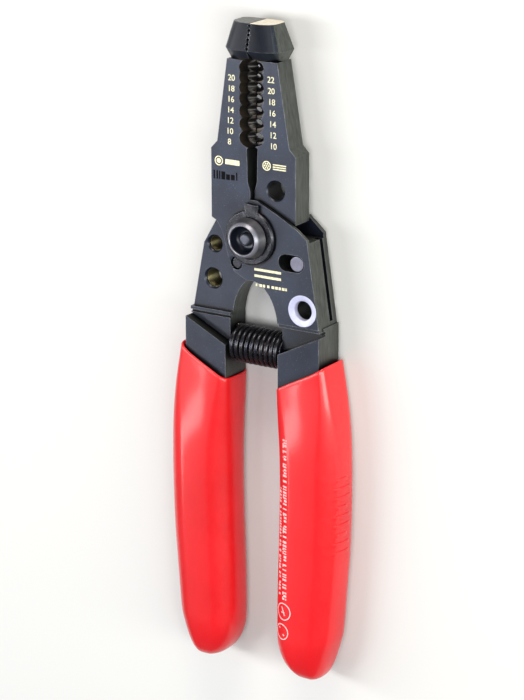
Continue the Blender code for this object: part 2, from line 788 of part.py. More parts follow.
def pivot_boss():
    """The tapered nut, hollow at the top, that stands on the washer."""
    low = WASHER_TOP_Z + GAP
    bore = PIN_RADIUS + GAP
    return turned(
        "pivot_boss",
        [
            (BOSS_WELL_RADIUS, BOSS_TOP_Z - EDGE), (BOSS_WELL_RADIUS + EDGE, BOSS_TOP_Z),
            (BOSS_RIM_RADIUS - BOSS_ROUND, BOSS_TOP_Z), (BOSS_RIM_RADIUS, BOSS_TOP_Z - BOSS_ROUND),
            (BOSS_BASE_RADIUS, low + EDGE), (BOSS_BASE_RADIUS - EDGE / 2, low), (bore, low),
            (bore, BOSS_WELL_Z), (BOSS_WELL_RADIUS, BOSS_WELL_Z),
        ],
    )


def thrust_washer():
    bore = SHANK_RADIUS + GAP
    half = THRUST_HALF_THICK
    ring = [(bore, half), (THRUST_RADIUS, half), (THRUST_RADIUS, -half), (bore, -half)]
    return turned("thrust_washer", ring)


# ---------- lock, stud, ring, spring ----------


def lock_pin():
    """A flush disc that slides in the ear's slot, on a stem that reaches the button behind."""
    centre = (LOCK_X, LOCK_Y)
    head = disc("lock_pin", centre, LOCK_PIN_RADIUS, (LOCK_STEP_Z, FACE_Z - INSET))
    stem = disc("lock_stem", centre, LOCK_STEM_RADIUS, (BACK_Z - GAP, LOCK_STEP_Z + THROUGH))
    return join(head, stem)


def lock_button():
    """The thumb slide on the tool's back, with ribs across it."""
    half_x, half_y = LOCK_BUTTON[0] / 2, LOCK_BUTTON[1] / 2
    top = BACK_Z - GAP * 2
    base_z = LOCK_BUTTON_Z + RIB_RISE
    button = box(
        "lock_button", (LOCK_X - half_x, LOCK_Y - half_y, base_z), (LOCK_X + half_x, LOCK_Y + half_y, top)
    )
    pitch = LOCK_BUTTON[0] / (RIBS + 1)
    reach = half_y - RIB_INSET
    for i in range(RIBS):
        x = LOCK_X - half_x + pitch * (i + 1)
        low = (x - RIB_HALF, LOCK_Y - reach, LOCK_BUTTON_Z)
        high = (x + RIB_HALF, LOCK_Y + reach, top)
        join(button, box(f"rib_{i}", low, high))
    return button


def stop_stud():
    return disc("stop_stud", STUD_PLACE, STUD_RADIUS, (STUD_FOOT_Z, STUD_FACE_Z))


def spring():
    """A compression spring along X between the two necks, with closed end turns."""
    length = 2 * (NECK_IN_X - GAP - SPRING_WIRE)
    steps = SPRING_TURNS * SPRING_STEPS
    curve = bpy.data.curves.new("return_spring", "CURVE")
    curve.dimensions = "3D"
    curve.bevel_depth = SPRING_WIRE * MM
    curve.bevel_resolution = 2
    curve.use_fill_caps = True
    line = curve.splines.new("POLY")
    line.points.add(steps)
    for i, point in enumerate(line.points):
        share = i / steps
        angle = 2 * math.pi * SPRING_TURNS * share
        x = length * (share - 0.5)
        y = SPRING_Y + SPRING_RADIUS * math.cos(angle)
        z = SPRING_RADIUS * math.sin(angle)
        point.co = (x * MM, y * MM, z * MM, 1)
    return mesh_from_curve("return_spring", curve)


def spring_seat(name, side):
    """A peg on the neck's inner wall that the spring's end turns sit round."""
    wall = NECK_IN_X - GAP
    peg = turned(
        name,
        [
            (0, wall - SEAT_REACH), (SEAT_RADIUS - EDGE, wall - SEAT_REACH),
            (SEAT_RADIUS, wall - SEAT_REACH + EDGE), (SEAT_RADIUS, wall), (0, wall),
        ],
        SMALL_SIDES,
    )
    peg.data.transform(Matrix.Rotation(side * math.pi / 2, 4, "Y"))
    peg.data.transform(Matrix.Translation((0, SPRING_Y * MM, 0)))
    return peg


# ---------- grips ----------


def grip_ring(y, low, high, half_thick, squareness, side):
    """A rounded rectangle across the handle, as a superellipse."""
    middle, half = (low + high) / 2, (high - low) / 2
    ring = []
    for i in range(GRIP_RING_POINTS):
        angle = 2 * math.pi * i / GRIP_RING_POINTS
        c, s = math.cos(angle), math.sin(angle)
        power = 2 / squareness
        across = middle + half * math.copysign(abs(c) ** power, c)
        up = GRIP_FLAT * half_thick * math.copysign(abs(s) ** power, s)
        ring.append((side * across, y, max(-half_thick, min(half_thick, up))))
    return ring


def grip_end_stations():
    """The round end: the inner side rounds in, and the outer side slants in before it rounds."""
    made = []
    for i in range(GRIP_ROUND_RINGS + 1):
        angle = math.pi / 2 * i / GRIP_ROUND_RINGS
        down, fade = math.sin(angle), 1 - math.cos(angle)
        y = GRIP_ROUND_Y + (GRIP_END_Y - GRIP_ROUND_Y) * down
        low = GRIP_ROUND_SIDES[0] + GRIP_ROUND_IN * fade
        high = GRIP_ROUND_SIDES[1] - GRIP_ROUND_SLANT * down - GRIP_ROUND_OUT * fade * fade
        half_thick = GRIP_HALF_THICK * (1 - (1 - GRIP_END_SHARE) * fade)
        made.append((y, low, high, half_thick, GRIP_END_SQUARENESS))
    return tuple(made)


def grip(name, side):
    """A dipped sleeve over the tang, bowed on its outer side and round at its end."""
    rings = [grip_ring(*station, side) for station in GRIP_STATIONS + grip_end_stations()]
    sleeve = loft(name, rings)
    reach = EAR_FOOT_X + GRIP_SPREAD
    above = plate(
        name + "_mouth",
        [(0, mouth_y(0)), (side * reach, mouth_y(reach)), (side * reach, 0), (0, 0)],
        (-GRIP_HALF_THICK - THROUGH, GRIP_HALF_THICK + THROUGH),
    )
    sheath = plate(
        name + "_tang_bore",
        [
            (side * (TANG_IN_X - GAP), 0), (side * (TANG_OUT_X + GAP), 0),
            (side * (TANG_OUT_X + GAP), TANG_END_Y - GAP), (side * (TANG_IN_X - GAP), TANG_END_Y - GAP),
        ],
        (-TANG_HALF_THICK - GAP, TANG_HALF_THICK + GAP),
    )
    return carve(sleeve, above, sheath)


# ---------- assembly ----------


clear_scene()
parts = new_collection(OBJECT_NAME)
cutters = new_collection("cutters")

front_frame = frame_at_pivot("front_frame")
rear_frame = frame_at_pivot("rear_frame")
lock_frame = frame_at_pivot("lock_frame")

tooth_tools = nose_teeth()
notch_tools = notch_cutters()
place(front_lever(tooth_tools, notch_tools), front_frame, "steel")
place(rear_lever(tooth_tools, notch_tools), rear_frame, "steel")

place(on_axis(pivot_bolt()), front_frame, "dark_steel")
place(on_axis(pivot_washer()), front_frame, "dark_steel")
place(on_axis(pivot_boss()), front_frame, "dark_steel")
place(on_axis(thrust_washer()), front_frame, "zinc")

place(lock_pin(), lock_frame, "zinc")
place(lock_button(), lock_frame, "dark_steel")
place(stop_stud(), front_frame, "zinc")

place(spring(), front_frame, "spring")
place(spring_seat("spring_seat_right", 1), front_frame, "dark_steel")
place(spring_seat("spring_seat_left", -1), rear_frame, "dark_steel")

place(grip("grip_right", 1), front_frame, "grip")
place(grip("grip_left", -1), rear_frame, "grip")
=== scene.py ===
"""Looks for the wire stripper: materials, soft-edged steel, printed markings, grips, spring and threads.

Everything is placed from the tool's datum: the pivot that the record gives, moved a little to the nose.
Sizes are in millimetres and MM makes metres, but the lights are in metres. Noise scales are per metre.
"""

import json
import math
import random

import bmesh
import bpy
from mathutils import Matrix, Vector


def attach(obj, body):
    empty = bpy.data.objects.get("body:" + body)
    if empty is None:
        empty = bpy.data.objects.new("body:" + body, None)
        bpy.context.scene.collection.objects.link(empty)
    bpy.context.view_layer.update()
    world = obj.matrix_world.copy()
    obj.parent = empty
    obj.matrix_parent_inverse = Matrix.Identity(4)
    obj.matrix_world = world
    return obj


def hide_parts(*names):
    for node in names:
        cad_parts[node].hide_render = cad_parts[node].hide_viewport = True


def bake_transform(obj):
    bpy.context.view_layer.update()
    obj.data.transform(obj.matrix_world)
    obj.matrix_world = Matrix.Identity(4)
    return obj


MM = 0.001

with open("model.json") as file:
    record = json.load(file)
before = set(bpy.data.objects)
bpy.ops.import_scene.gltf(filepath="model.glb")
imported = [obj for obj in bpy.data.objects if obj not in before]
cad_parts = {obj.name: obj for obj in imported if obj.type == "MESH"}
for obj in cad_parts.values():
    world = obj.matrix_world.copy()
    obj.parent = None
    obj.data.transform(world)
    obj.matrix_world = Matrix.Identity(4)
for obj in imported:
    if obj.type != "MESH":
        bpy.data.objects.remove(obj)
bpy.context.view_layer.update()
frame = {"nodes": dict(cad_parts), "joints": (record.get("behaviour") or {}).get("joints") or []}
nodes = frame["nodes"]
joints = {joint["name"]: joint for joint in frame["joints"]}
PIVOT_BELOW = 1.4  # how far the pivot's axis lies from the datum, towards the grips
DATUM = Vector(joints["main_pivot"]["pos_m"]) + Vector((0, PIVOT_BELOW, 0)) * MM

# Heights of the two marked faces above the datum
FRONT_FACE = 5.0
REAR_JAW_FACE = 3.7

# ---------- camera, light and floor ----------

VIEW_SIDE = math.radians(32.8)
VIEW_NOSE = math.radians(17.1)
VIEW_ROLL = math.radians(-0.15)
VIEW_TARGET = (3.4, -33.0, 5.0)
VIEW_DISTANCE = 779.6
LENS = 145.8
SENSOR = 36.0
NEAREST = 10.0

WORLD_COLOUR = (0.9, 0.93, 1.0)
WORLD_STRENGTH = 0.16
FLOOR_COLOUR = (0.56, 0.56, 0.555)
FLOOR_ROUGHNESS = 0.7
FLOOR_HALF = 3000.0
FLOOR_DROP = 0.2  # how far the floor lies below the tool

WHITE = (1, 1, 1)
LIGHT_TARGET = (0, -30)
# Each light's place and size in metres, its watts and its colour
LIGHTS = {
    "key": ((0.45, 0.1, 0.8), (0.35, 0.5), 5.5, WHITE),
    "nose_light": ((0.1, 0.75, 0.3), (0.4, 0.25), 4.5, (1, 0.92, 0.8)),
    "left_strip": ((-0.5, 0.05, 0.5), (0.15, 0.8), 5.0, WHITE),
    "gloss_strip": ((-0.62, -0.3, 0.75), (0.07, 0.35), 0.9, WHITE),
    "right_strip": ((0.7, 0.0, 0.3), (0.2, 0.7), 5.5, (0.97, 1, 0.93)),
}


def at(x, y, z=0.0):
    """A point given in millimetres from the datum."""
    return DATUM + Vector((x, y, z)) * MM


def add_camera():
    data = bpy.data.cameras.new("photo_camera")
    data.lens = LENS
    data.sensor_width = SENSOR
    data.clip_start = NEAREST * MM
    camera = bpy.data.objects.new("photo_camera", data)
    bpy.context.scene.collection.objects.link(camera)
    towards = Vector((
        math.sin(VIEW_SIDE) * math.cos(VIEW_NOSE),
        math.sin(VIEW_NOSE),
        math.cos(VIEW_SIDE) * math.cos(VIEW_NOSE),
    ))
    right = Vector((0, 1, 0)).cross(towards).normalized()
    up = towards.cross(right)
    axes = Matrix((right, up, towards)).transposed().to_4x4()
    axes = axes @ Matrix.Rotation(VIEW_ROLL, 4, "Z")
    place = at(*VIEW_TARGET) + towards * VIEW_DISTANCE * MM
    camera.matrix_world = Matrix.Translation(place) @ axes
    bpy.context.scene.camera = camera


def add_area(name, place, size, watts, colour):
    data = bpy.data.lights.new(name, "AREA")
    data.shape = "RECTANGLE"
    data.size, data.size_y = size
    data.energy = watts
    data.color = colour
    light = bpy.data.objects.new(name, data)
    bpy.context.scene.collection.objects.link(light)
    light.location = place
    light.rotation_euler = (at(*LIGHT_TARGET) - Vector(place)).to_track_quat("-Z", "Y").to_euler()


def add_world():
    world = bpy.data.worlds.new("soft_studio")
    world.use_nodes = True
    background = world.node_tree.nodes["Background"]
    background.inputs["Color"].default_value = (*WORLD_COLOUR, 1)
    background.inputs["Strength"].default_value = WORLD_STRENGTH
    bpy.context.scene.world = world
    bpy.context.scene.view_settings.view_transform = "Standard"


def add_floor():
    mesh = bpy.data.meshes.new("floor")
    shape = bmesh.new()
    bmesh.ops.create_grid(shape, x_segments=1, y_segments=1, size=FLOOR_HALF * MM)
    shape.to_mesh(mesh)
    shape.free()
    floor = bpy.data.objects.new("floor", mesh)
    floor.location.z = -FLOOR_DROP * MM
    bpy.context.scene.collection.objects.link(floor)
    pale = bpy.data.materials.new("pale_floor")
    pale.use_nodes = True
    shader = pale.node_tree.nodes["Principled BSDF"]
    shader.inputs["Base Color"].default_value = (*FLOOR_COLOUR, 1)
    shader.inputs["Roughness"].default_value = FLOOR_ROUGHNESS
    mesh.materials.append(pale)


def add_stage():
    add_world()
    add_floor()
    for name, (place, size, watts, colour) in LIGHTS.items():
        add_area(name, place, size, watts, colour)


# ---------- materials ----------

# The Mix node's sockets for its two colours, and for its result
FIRST_COLOUR = 6
SECOND_COLOUR = 7
MIXED_COLOUR = 2
BEVEL_SAMPLES = 6  # rays of a Bevel node
SHADE_SAMPLES = 8  # rays of an Ambient Occlusion node


class Nodes:
    """A material's node tree, with short calls for the nodes that the finishes share."""

    def __init__(self, name):
        self.material = bpy.data.materials.new(name)
        self.material.use_nodes = True
        self.tree = self.material.node_tree
        self.shader = self.tree.nodes["Principled BSDF"]
        self.place = self.add("ShaderNodeTexCoord").outputs["Object"]

    def add(self, kind, **settings):
        node = self.tree.nodes.new(kind)
        for key, value in settings.items():
            setattr(node, key, value)
        return node

    def link(self, source, target):
        self.tree.links.new(source, target)

    def noise(self, scale, detail=4.0, roughness=0.6, stretch=(1, 1, 1)):
        mapping = self.add("ShaderNodeMapping")
        mapping.inputs["Scale"].default_value = stretch
        self.link(self.place, mapping.inputs["Vector"])
        node = self.add("ShaderNodeTexNoise")
        node.inputs["Scale"].default_value = scale
        node.inputs["Detail"].default_value = detail
        node.inputs["Roughness"].default_value = roughness
        self.link(mapping.outputs["Vector"], node.inputs["Vector"])
        return node.outputs["Fac"]

    def spread(self, value, low, high, to_low=0.0, to_high=1.0):
        """A value's range from low to high, drawn out to another and held at its ends."""
        node = self.add("ShaderNodeMapRange")
        node.clamp = True
        node.inputs["From Min"].default_value = low
        node.inputs["From Max"].default_value = high
        node.inputs["To Min"].default_value = to_low
        node.inputs["To Max"].default_value = to_high
        self.link(value, node.inputs["Value"])
        return node.outputs["Result"]

    def fade(self, value, low, high):
        """1 where a value is below low, and 0 where it is above high."""
        return self.spread(value, low, high, 1.0, 0.0)

    def mix(self, share, first, second):
        """A colour between two, each a tuple or a socket."""
        node = self.add("ShaderNodeMix", data_type="RGBA")
        self.link(share, node.inputs["Factor"])
        for value, socket in ((first, FIRST_COLOUR), (second, SECOND_COLOUR)):
            if isinstance(value, tuple):
                node.inputs[socket].default_value = (*value, 1)
            else:
                self.link(value, node.inputs[socket])
        return node.outputs[MIXED_COLOUR]

    def shades(self, noise, first, second, low=0.3, high=0.7):
        """A colour that wanders with a noise from one to another."""
        return self.mix(self.spread(noise, low, high), first, second)

    def maths(self, operation, *values):
        """A Math node's result, from numbers or sockets."""
        node = self.add("ShaderNodeMath", operation=operation)
        for value, socket in zip(values, node.inputs):
            if isinstance(value, float):
                socket.default_value = value
            else:
                self.link(value, socket)
        return node.outputs[0]

    def multiply(self, first, second):
        return self.maths("MULTIPLY", first, second)

    def absolute(self, value):
        return self.maths("ABSOLUTE", value)

    def parts(self, vector):
        """The X, Y and Z of a vector."""
        node = self.add("ShaderNodeSeparateXYZ")
        self.link(vector, node.inputs[0])
        return node.outputs

    def rounded_normal(self, radius):
        """The normal as it would be with edges rounded to a radius."""
        bevel = self.add("ShaderNodeBevel", samples=BEVEL_SAMPLES)
        bevel.inputs["Radius"].default_value = radius
        return bevel.outputs["Normal"]

    def worn_edges(self, radius, low, high):
        """1 on sharp edges and 0 on flats, from how far a rounded normal turns from the true one."""
        rounded = self.rounded_normal(radius)
        geometry = self.add("ShaderNodeNewGeometry")
        dot = self.add("ShaderNodeVectorMath", operation="DOT_PRODUCT")
        self.link(rounded, dot.inputs[0])
        self.link(geometry.outputs["Normal"], dot.inputs[1])
        return self.spread(dot.outputs["Value"], high, low)

    def facing_up(self):
        """1 on faces that look along Z, either way, and 0 on walls."""
        geometry = self.add("ShaderNodeNewGeometry")
        return self.absolute(self.parts(geometry.outputs["True Normal"])["Z"])

    def crevices(self, reach, closed, open_air, most):
        """How much painted shade a surface gets: most where the surroundings close in, and 0 in the open."""
        shade = self.add("ShaderNodeAmbientOcclusion", samples=SHADE_SAMPLES)
        shade.inputs["Distance"].default_value = reach
        return self.spread(shade.outputs["AO"], closed, open_air, most, 0.0)

    def relief(self, height, strength, distance, radius=0.0):
        """Bumps from a noise, over edges rounded to a radius if one is given."""
        bump = self.add("ShaderNodeBump")
        bump.inputs["Strength"].default_value = strength
        bump.inputs["Distance"].default_value = distance
        self.link(height, bump.inputs["Height"])
        if radius:
            self.link(self.rounded_normal(radius), bump.inputs["Normal"])
        self.link(bump.outputs["Normal"], self.shader.inputs["Normal"])

    def set(self, **values):
        for key, value in values.items():
            self.shader.inputs[key.replace("_", " ")].default_value = value

    def finish(self, colour, roughness):
        self.link(colour, self.shader.inputs["Base Color"])
        self.link(roughness, self.shader.inputs["Roughness"])
        return self.material


# Darker and lighter shades of each steel surface
OXIDE = ((0.005, 0.008, 0.018), (0.015, 0.021, 0.041))
# Painted light on the walls: streaked shades, lighter and greener than the faces, as light from the side
# makes them
PAINTED_LIGHT_WALLS = ((0.026, 0.03, 0.027), (0.07, 0.076, 0.068))
# Painted reflection in the notches: dark browns for the warm glints on their ridges
NOTCH_PAINTED_REFLECTION = ((0.005, 0.004, 0.003), (0.045, 0.033, 0.02))
# Painted highlight on the end face of the nose's right half
TIP_HIGHLIGHT_SHADES = ((0.6, 0.54, 0.42), (0.8, 0.73, 0.6))
BOSS_FLANK = ((0.035, 0.036, 0.044), (0.075, 0.074, 0.085))
VINYL = ((0.5, 0.004, 0.007), (0.6, 0.008, 0.012))

SPECK = (0.16, 0.17, 0.2)
NOSE_BLACK = (0.003, 0.004, 0.006)
WORN_EDGE = (0.32, 0.33, 0.36)
# Painted shade: the near-black that darkens corners and the ground beside walls
PAINTED_CORNER_SHADE = (0.002, 0.002, 0.003)
# Painted highlight on the boss's rim, and painted shade in its well
BOSS_RIM_HIGHLIGHT = (0.2, 0.2, 0.24)
BOSS_WELL_SHADE = (0.006, 0.008, 0.016)

# The painted shade in corners and near walls: how far it reaches, how closed and how open the place is, and
# how much there is
PAINTED_SHADE_LAYERS = ((5.5, 0.6, 0.96, 0.85), (1.6, 0.45, 0.85, 0.9))


def blackened_steel():
    """Black-oxide steel: ground blue-grey faces, streaked walls with painted light, pale specks, bare edges,
    a painted highlight on the nose's tip, a painted reflection in the notches and painted shade in the
    corners.
    """
    m = Nodes("blackened_steel")
    cloud = m.noise(75, 6, 0.62)
    grain = m.noise(900, 3, 0.5, stretch=(1, 0.18, 1))
    streaks = m.noise(1400, 3, 0.6, stretch=(1, 0.12, 1))
    specks = m.spread(m.noise(2600, 2, 0.7), 0.66, 0.74)
    base = m.shades(cloud, *OXIDE)
    base = m.mix(m.multiply(specks, 0.5), base, SPECK)
    # Walls get painted light: lighter streaked shades than the faces
    base = m.mix(m.fade(m.facing_up(), 0.35, 0.7), base, m.shades(streaks, *PAINTED_LIGHT_WALLS))
    base = m.mix(nose_faces(m), base, NOSE_BLACK)
    base = m.mix(broken_edges(m), base, WORN_EDGE)
    # The notches get a painted reflection: dark brown shades in place of the warm glints on their ridges
    base = m.mix(notch_band(m), base, m.shades(cloud, *NOTCH_PAINTED_REFLECTION, 0.35, 0.65))
    # A painted highlight: the end face of the nose's right half is painted cream, where light strikes it
    base = m.mix(ground_tip(m), base, m.shades(grain, *TIP_HIGHLIGHT_SHADES))
    # Painted shade from ambient occlusion darkens corners, creases and the ground beside walls
    for reach, closed, open_air, most in PAINTED_SHADE_LAYERS:
        base = m.mix(m.crevices(reach * MM, closed, open_air, most), base, PAINTED_CORNER_SHADE)
    m.set(Metallic=0.4, Coat_Weight=0.1, Coat_Roughness=0.2, Specular_IOR_Level=0.35)
    m.relief(grain, strength=0.18, distance=0.06 * MM)
    return m.finish(base, m.spread(grain, 0.2, 0.8, 0.3, 0.46))


def broken_edges(m):
    """The worn edges, stronger in some places than in others."""
    edges = m.worn_edges(0.35 * MM, 0.72, 0.96)
    patches = m.spread(m.noise(500), 0.38, 0.62, 0.25, 1.0)
    return m.multiply(m.multiply(edges, patches), 0.75)


NOSE_TIP_Y = 57.5
NOSE_FOOT_Y = 48.0
NOSE_SHARE = 0.8  # how black the nose's marked side gets
FOOT_FADE = 0.5
TIP_DEPTHS = (0.12, 0.06)  # how far behind the tip the painted highlight starts, and is full
TIP_SIDES = (0.1, 0.3)


def nose_faces(m):
    """1 on the nose's marked side, which is blacker than the jaws."""
    low = at(0, NOSE_FOOT_Y - FOOT_FADE).y
    high = at(0, NOSE_FOOT_Y + FOOT_FADE).y
    past_foot = m.spread(m.parts(m.place)["Y"], low, high, 0.0, NOSE_SHARE)
    return m.multiply(past_foot, m.spread(m.facing_up(), 0.6, 0.9))


def ground_tip(m):
    """1 on the end face of the right half of the nose, which gets a painted cream highlight."""
    place = m.parts(m.place)
    low, high = (at(0, NOSE_TIP_Y - depth).y for depth in TIP_DEPTHS)
    left, right = (side * MM for side in TIP_SIDES)
    return m.multiply(m.spread(place["Y"], low, high), m.spread(place["X"], left, right))


NOTCH_MIDDLE_Y = 35.5
NOTCH_HALF_LENGTH = 12.2
NOTCH_FADE = 0.3
NOTCH_SIDES = (4.2, 4.4)
NOTCH_FLOORS = (3.2, 3.6)  # heights under which even level faces get the painted reflection


def notch_band(m):
    """1 on the ground steel of the notches, which lies below the blackened faces and gets a dark brown
    painted reflection.
    """
    place = m.parts(m.place)
    from_middle = m.absolute(m.maths("SUBTRACT", place["Y"], at(0, NOTCH_MIDDLE_Y).y))
    sides = (side * MM for side in NOTCH_SIDES)
    inside = m.fade(m.absolute(place["X"]), *sides)
    within = m.fade(from_middle, NOTCH_HALF_LENGTH * MM, (NOTCH_HALF_LENGTH + NOTCH_FADE) * MM)
    low = m.fade(place["Z"], *(at(0, 0, floor).z for floor in NOTCH_FLOORS))
    sunk = m.maths("MAXIMUM", low, m.fade(m.facing_up(), 0.9, 0.97))
    return m.multiply(m.multiply(inside, within), sunk)


# Lathe-turned finishes: the darker and lighter shade, the edge colour (worn, and on the spring wire and the
# thread a painted highlight), roughness and metallic value
TURNED_FINISHES = {
    "oiled_steel": ((0.012, 0.013, 0.018), (0.03, 0.03, 0.036), (0.3, 0.3, 0.4), 0.3, 0.7),
    "pin_steel": ((0.05, 0.055, 0.075), (0.08, 0.085, 0.11), (0.16, 0.17, 0.22), 0.36, 0.4),
    "bright_steel": ((0.1, 0.1, 0.14), (0.15, 0.15, 0.2), (0.4, 0.4, 0.5), 0.42, 0.5),
    "bare_ring": ((0.36, 0.37, 0.52), (0.46, 0.47, 0.64), (0.65, 0.66, 0.85), 0.5, 0.2),
    # The spring wire's bronze edge colour is a painted highlight, for the lit tops of the coils
    "spring_wire": ((0.014, 0.016, 0.026), (0.045, 0.043, 0.046), (0.25, 0.18, 0.12), 0.26, 0.8),
    # The thread's olive shades are partly oil and partly painted glints, and its edge colour is a painted
    # highlight
    "oil_and_glint_thread": ((0.03, 0.025, 0.01), (0.07, 0.06, 0.025), (0.25, 0.22, 0.12), 0.35, 0.8),
}
ROUGHNESS_SWING = 0.08


def turned_steel(name):
    """Lathe-turned steel with fine marks across its axis and bright edges, in a finish from the table."""
    low, high, edge_colour, roughness, metallic = TURNED_FINISHES[name]
    m = Nodes(name)
    marks = m.noise(2200, 2, 0.5, stretch=(0.6, 0.6, 2.5))
    edges = m.worn_edges(0.3 * MM, 0.7, 0.97)
    base = m.shades(m.noise(500), low, high)
    base = m.mix(m.multiply(edges, 0.85), base, edge_colour)
    m.set(Metallic=metallic)
    m.relief(marks, strength=0.15, distance=0.04 * MM, radius=0.2 * MM)
    smoothest = roughness - ROUGHNESS_SWING
    roughest = roughness + ROUGHNESS_SWING
    return m.finish(base, m.spread(marks, 0.25, 0.75, smoothest, roughest))


RIM_HEIGHTS = (8.7, 9.5)  # where the boss's flank gives way to the painted highlight on its rim
WELL_RADII = (3.85, 4.1)  # where the painted shade of the well gives way to the rim


def boss_finish():
    """The boss: a painted highlight on its rim over turned flanks, and painted shade in its well."""
    m = Nodes("boss_finish")
    cloud = m.noise(400)
    place = m.parts(m.place)
    # Painted highlight: the rim above these heights is painted light
    rim = m.spread(place["Z"], *(at(0, 0, height).z for height in RIM_HEIGHTS))
    shade = m.mix(rim, m.shades(cloud, *BOSS_FLANK), BOSS_RIM_HIGHLIGHT)
    flat = m.add("ShaderNodeCombineXYZ")
    m.link(place["X"], flat.inputs["X"])
    m.link(place["Y"], flat.inputs["Y"])
    from_axis = m.add("ShaderNodeVectorMath", operation="DISTANCE")
    m.link(flat.outputs[0], from_axis.inputs[0])
    axis = at(0, -PIVOT_BELOW)
    from_axis.inputs[1].default_value = (axis.x, axis.y, 0)
    # Painted shade: the well inside these radii is painted dark
    well = m.fade(from_axis.outputs["Value"], *(radius * MM for radius in WELL_RADII))
    shade = m.mix(well, shade, BOSS_WELL_SHADE)
    m.set(Metallic=0.5)
    m.relief(m.noise(1500, 2, 0.5), strength=0.1, distance=0.03 * MM)
    return m.finish(shade, m.spread(cloud, 0.3, 0.7, 0.28, 0.4))


def red_vinyl():
    """Glossy dipped vinyl: a slightly uneven skin, with deeper and lighter reds."""
    m = Nodes("red_vinyl")
    skin = m.noise(600, 4, 0.55)
    base = m.shades(m.noise(45, 3, 0.5), *VINYL)
    m.set(Coat_Weight=0.45, Coat_Roughness=0.12, Specular_IOR_Level=0.3)
    m.relief(skin, strength=0.12, distance=0.08 * MM)
    return m.finish(base, m.spread(skin, 0.3, 0.7, 0.34, 0.44))


def print_ink(name, colour, worn, gloss=0.5):
    """Laser-marked or printed strokes, rubbed thin in places."""
    m = Nodes(name)
    rubbed = m.spread(m.noise(1500, 4, 0.7), 0.4, 0.62)
    base = m.mix(m.multiply(rubbed, 0.6), colour, worn)
    m.set(Specular_IOR_Level=gloss)
    return m.finish(base, m.spread(m.noise(800), 0.3, 0.7, 0.45, 0.65))


# ---------- mesh helpers ----------

WELD = 0.001 * MM
# An edge that turns by more than these degrees stays sharp: on steel, on a sleeve, on a bar or a wire
CORNER = 30
SLEEVE_CORNER = 60
BAR_CORNER = 50


def object_from(name, shape, material, smooth_angle=None):
    mesh = bpy.data.meshes.new(name)
    bmesh.ops.recalc_face_normals(shape, faces=shape.faces)
    shape.to_mesh(mesh)
    shape.free()
    obj = bpy.data.objects.new(name, mesh)
    bpy.context.scene.collection.objects.link(obj)
    mesh.materials.append(material)
    if smooth_angle:
        mesh.shade_smooth()
        mesh.set_sharp_from_angle(angle=math.radians(smooth_angle))
    return obj


def add_piece(name, shape, material, body, smooth_angle=None):
    obj = object_from(name, shape, material, smooth_angle)
    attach(obj, body)
    return obj


def paint(material, *names):
    """Gives CAD nodes a material of this script's."""
    for name in names:
        mesh = nodes[name].data
        mesh.materials.clear()
        mesh.materials.append(material)


def skin_rows(shape, rows, closed_ends=False, closed_round=False):
    """Faces over rows of points with the same count, each row a closed ring."""
    layers = [[shape.verts.new(point) for point in row] for row in rows]
    if closed_round:
        layers.append(layers[0])
    count = len(rows[0])
    for low, high in zip(layers, layers[1:]):
        for i in range(count):
            j = (i + 1) % count
            shape.faces.new((low[i], low[j], high[j], high[i]))
    if closed_ends:
        shape.faces.new(layers[0][::-1])
        shape.faces.new(layers[-1])


def turn_profile(shape, x, y, profile, sides):
    """A ring made by turning a closed profile of (radius, z) round an upright axis."""
    rows = []
    for i in range(sides):
        a = 2 * math.pi * i / sides
        rows.append([at(x + r * math.cos(a), y + r * math.sin(a), z) for r, z in profile])
    skin_rows(shape, rows, closed_round=True)


# ---------- soft-edged copies of the CAD's steel ----------

FLAT_ANGLE = 0.5  # faces that meet at less than these degrees become one
NORMAL_WEIGHT = 90


def refined(node, material, body, bevel):
    """A copy of a CAD node with welded corners, smooth round faces and, with a bevel, rounded edges."""
    shape = bmesh.new()
    shape.from_mesh(nodes[node].data)
    bmesh.ops.remove_doubles(shape, verts=shape.verts, dist=WELD)
    bmesh.ops.dissolve_limit(
        shape, angle_limit=math.radians(FLAT_ANGLE), verts=shape.verts, edges=shape.edges,
        use_dissolve_boundaries=False,
    )
    if bevel:
        sharp = [edge for edge in shape.edges if edge.calc_face_angle(0) > math.radians(CORNER)]
        bmesh.ops.bevel(
            shape, geom=sharp, offset=bevel * MM, segments=2, profile=0.5, affect="EDGES", clamp_overlap=True,
        )
    bmesh.ops.triangulate(shape, faces=[face for face in shape.faces if len(face.verts) > 4])
    piece = add_piece(node + "_soft", shape, material, body, CORNER)
    flatten_normals(piece)
    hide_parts(node)


def flatten_normals(piece):
    """Weights the normals by area, so that broad faces stay flat up to their rounded edges."""
    weighted = piece.modifiers.new("weighted", "WEIGHTED_NORMAL")
    weighted.keep_sharp = True
    weighted.weight = NORMAL_WEIGHT
    bpy.context.view_layer.update()
    graph = bpy.context.evaluated_depsgraph_get()
    mesh = bpy.data.meshes.new_from_object(piece.evaluated_get(graph))
    piece.modifiers.clear()
    piece.data = mesh


# ---------- grips ----------

GRIP_ROUND_Y = -116.0
GRIP_END_Y = -128.5
GRIP_ROUND_SIDES = (7.2, 25.3)
GRIP_ROUND_IN = 8.8
GRIP_ROUND_SLANT = 3.6
GRIP_ROUND_OUT = 2.4
GRIP_END_SHARE = 0.36
GRIP_HALF_THICK = 7.0
GRIP_SQUARE = 2.8
